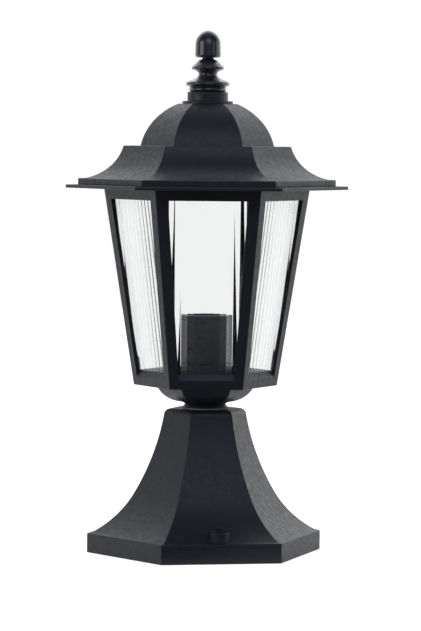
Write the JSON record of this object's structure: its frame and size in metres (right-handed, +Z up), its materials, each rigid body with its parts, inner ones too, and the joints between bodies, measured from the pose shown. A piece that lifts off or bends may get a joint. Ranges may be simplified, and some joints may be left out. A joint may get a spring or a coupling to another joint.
{
  "type": "garden light",
  "caption": "Six-sided pedestal garden lantern with clear reeded panes, a hollow flared foot, a lift-off roof with a turned finial and a lampholder.",
  "frame": {"origin": "middle of the foot on the ground, on the lantern's axis", "axes": "+Z up along the axis; -Y is the pedestal's front face, the one with a fixing well in its middle"},
  "size_m": [0.221, 0.2084, 0.412],
  "materials": {
    "black_plastic": "fine matt grain",
    "gloss_black": "semi-gloss moulded",
    "holder_black": "smooth satin",
    "clear_plastic": "clear, reeded outside",
    "gasket_rubber": "matt",
    "zinc_steel": "zinc plated",
    "brass": "bright",
    "ceramic_white": "glazed",
    "block_white": "smooth",
    "wire_brown": "smooth sleeve",
    "wire_blue": "smooth sleeve"
  },
  "bodies": {
    "pedestal": {"pedestal": "black_plastic", "neck_gasket": "gasket_rubber"},
    "head": {"neck_collar": "black_plastic", "lantern_body": "black_plastic", "pane_front": "clear_plastic", "pane_front_right": "clear_plastic", "pane_back_right": "clear_plastic", "pane_back": "clear_plastic", "pane_back_left": "clear_plastic", "pane_front_left": "clear_plastic", "holder_cap": "holder_black", "holder_skirt": "holder_black", "holder_insert": "ceramic_white", "screw_shell": "brass", "centre_contact": "brass", "holder_terminals": "brass", "nipple": "zinc_steel", "lock_nuts": "zinc_steel", "washers": "zinc_steel", "terminal_bracket": "zinc_steel", "terminal_block": "block_white", "terminal_screws": "zinc_steel", "cord_clamp": "holder_black", "clamp_screws": "zinc_steel", "wire_live": "wire_brown", "wire_neutral": "wire_blue"},
    "roof": {"roof": "black_plastic", "finial": "gloss_black", "finial_screw": "zinc_steel"}
  },
  "joints": [
    {"name": "head_turn", "type": "hinge", "parent": "pedestal", "child": "head", "pos_m": [0, 0, 0.1145], "axis": [0, 0, 1], "range_deg": [-170, 170]},
    {"name": "roof_lift", "type": "slide", "parent": "head", "child": "roof", "axis": [0, 0, 1], "range_m": [0, 0.12]}
  ]
}
